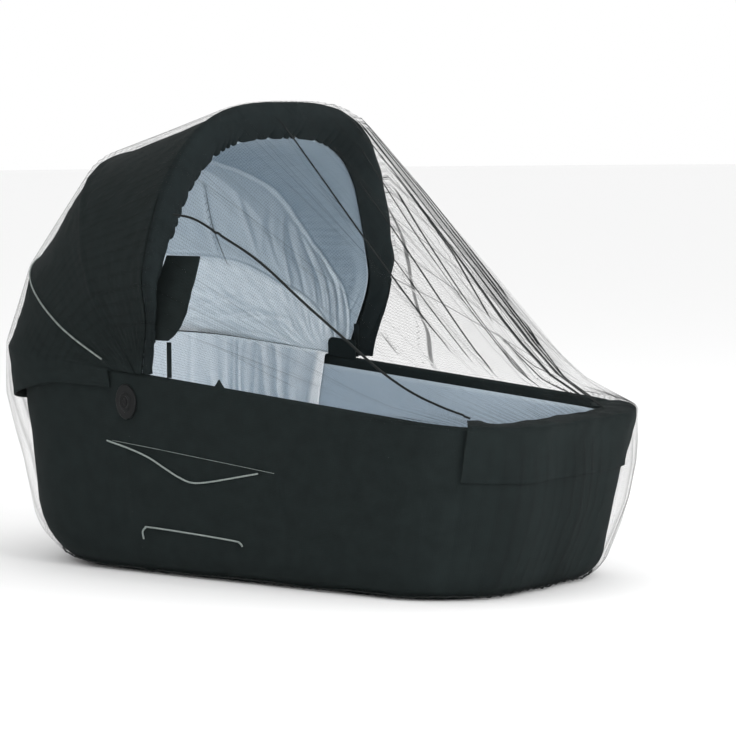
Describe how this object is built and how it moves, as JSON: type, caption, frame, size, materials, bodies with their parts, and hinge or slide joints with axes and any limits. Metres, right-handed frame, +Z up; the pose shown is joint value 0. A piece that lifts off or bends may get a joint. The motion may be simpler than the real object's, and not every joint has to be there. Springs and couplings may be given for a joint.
{
  "type": "mosquito net on pram carrycot",
  "caption": "Fine mesh mosquito net stretched over a pram carrycot, from its raised hood down to its foot end, with a gathered hem drawn in under the base.",
  "frame": {"origin": "middle of the carrycot's flat base, on the surface it stands on", "axes": "+Z up, +X along the carrycot to its foot end, -Y the side with the pocket"},
  "size_m": [0.918, 0.5578, 0.65],
  "materials": {
    "net": "sheer black mesh",
    "fabric": "matt woven black",
    "lining": "matt grey blue cotton",
    "ruched": "matt light grey cotton",
    "piping": "light grey reflective piping",
    "plastic": "matt black"
  },
  "bodies": {
    "root": {"net": "net", "net_cord": "net", "tub": "fabric", "tub_lining": "lining", "hood": "fabric", "hood_lining": "lining", "hood_band": "fabric", "lining_ruche": "ruched", "foot_apron": "fabric", "hood_piping": "piping", "pocket_piping": "piping", "lower_piping": "piping", "hood_wing_near": "fabric", "hood_tab_far": "fabric", "hood_strap_near": "fabric", "hood_strap_far": "fabric", "hood_hinge_near": "plastic", "hood_hinge_far": "plastic"}
  },
  "joints": []
}
